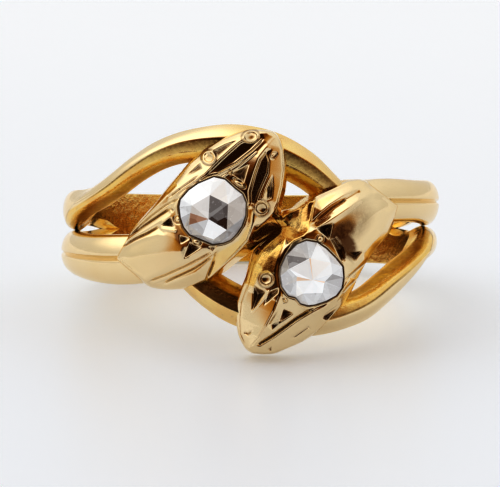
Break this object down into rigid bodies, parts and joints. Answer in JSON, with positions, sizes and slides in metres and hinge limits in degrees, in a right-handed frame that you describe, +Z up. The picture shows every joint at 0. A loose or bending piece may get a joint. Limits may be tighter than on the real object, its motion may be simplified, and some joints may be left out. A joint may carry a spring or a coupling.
{
  "type": "crossover snake ring",
  "caption": "Crossover finger ring of two snakes, each head set with a rose-cut stone and each tail passing under the other head.",
  "frame": {"origin": "bottom centre of the box of the ring as it lies by itself on a level surface", "axes": "+Z up; -Y is the front, where the two heads cross; +X to the right seen from the front. The finger axis leans back from +Z by the rest pitch"},
  "size_m": [0.0206, 0.022, 0.0118],
  "materials": {
    "gold": "polished yellow gold with fine wear scratches",
    "stone": "polished facets"
  },
  "bodies": {
    "root": {"gold_ring": "gold", "stone_upper": "stone", "stone_lower": "stone"}
  },
  "joints": []
}
